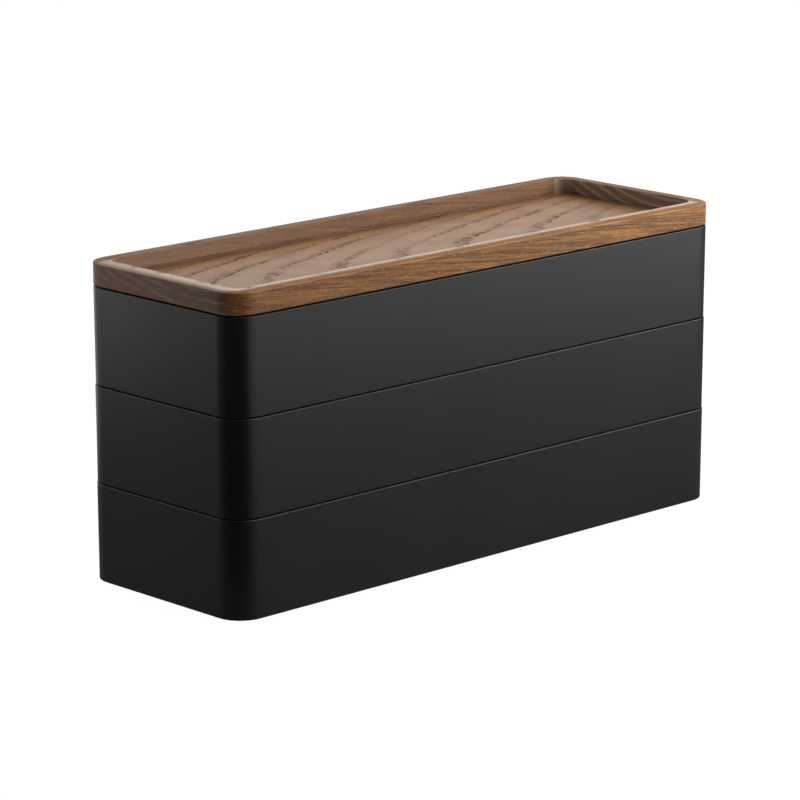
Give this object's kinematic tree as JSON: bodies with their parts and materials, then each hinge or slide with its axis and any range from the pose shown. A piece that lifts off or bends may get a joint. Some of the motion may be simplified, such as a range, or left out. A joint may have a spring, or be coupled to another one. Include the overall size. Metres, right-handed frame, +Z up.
{
  "type": "tiered accessory box",
  "caption": "Long black accessory box of stacked trays that lift apart, with a wooden lid that is itself a shallow tray.",
  "frame": {"origin": "on the table, under the middle of the rectangular footprint, level with the undersides of the feet", "axes": "+X along the long side towards the end without the ring cushion, +Y from the front long side to the rear one, +Z up"},
  "size_m": [0.24, 0.08, 0.1145],
  "materials": {
    "stained_wood": "walnut stain under a matt open-pore oil finish",
    "black_abs": "fine spark-eroded satin",
    "velour": "short dense pile",
    "black_silicone": "matt"
  },
  "bodies": {
    "bottom": {"bottom_tier": "black_abs", "bottom_liner": "velour", "foot_front_left": "black_silicone", "foot_front_right": "black_silicone", "foot_rear_left": "black_silicone", "foot_rear_right": "black_silicone"},
    "middle": {"middle_tier": "black_abs", "middle_liner": "velour", "middle_divider_1": "black_abs", "middle_divider_2": "black_abs", "middle_divider_3": "black_abs"},
    "top": {"top_tier": "black_abs", "top_liner": "velour", "top_divider_1": "black_abs", "top_divider_2": "black_abs", "ring_board": "velour", "ring_roll_1": "velour", "ring_roll_2": "velour", "ring_roll_3": "velour", "ring_roll_4": "velour", "ring_roll_5": "velour", "ring_roll_6": "velour"},
    "lid": {"lid_tray": "stained_wood"}
  },
  "joints": [
    {"name": "middle_tier_lift", "type": "slide", "parent": "bottom", "child": "middle", "axis": [0, 0, 1], "range_m": [0, 0.06]},
    {"name": "top_tier_lift", "type": "slide", "parent": "middle", "child": "top", "axis": [0, 0, 1], "range_m": [0, 0.06]},
    {"name": "lid_lift", "type": "slide", "parent": "top", "child": "lid", "axis": [0, 0, 1], "range_m": [0, 0.06]}
  ]
}
